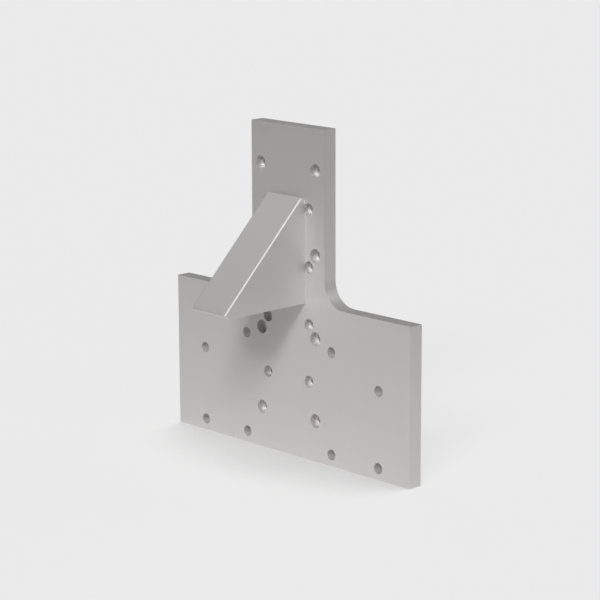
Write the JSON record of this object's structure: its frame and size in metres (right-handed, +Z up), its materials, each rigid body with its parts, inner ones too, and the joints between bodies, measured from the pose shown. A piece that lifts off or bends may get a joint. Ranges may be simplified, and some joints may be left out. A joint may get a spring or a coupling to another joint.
{
  "type": "cross connector plate",
  "caption": "Flat aluminium plate shaped as an upside-down T, with a wedge on the front of its upright and bolt holes up the upright and along the arms.",
  "frame": {"origin": "on the back face, in the middle of the plate, where the bolt rows of the upright are centred", "axes": "+Z up the upright, +X along the right arm seen from the front, +Y out of the back face, so the wedge points along -Y"},
  "size_m": [0.26, 0.0942, 0.26],
  "materials": {
    "connector_plate": "satin, finely blasted"
  },
  "bodies": {
    "root": {"connector_plate": "connector_plate"}
  },
  "joints": []
}
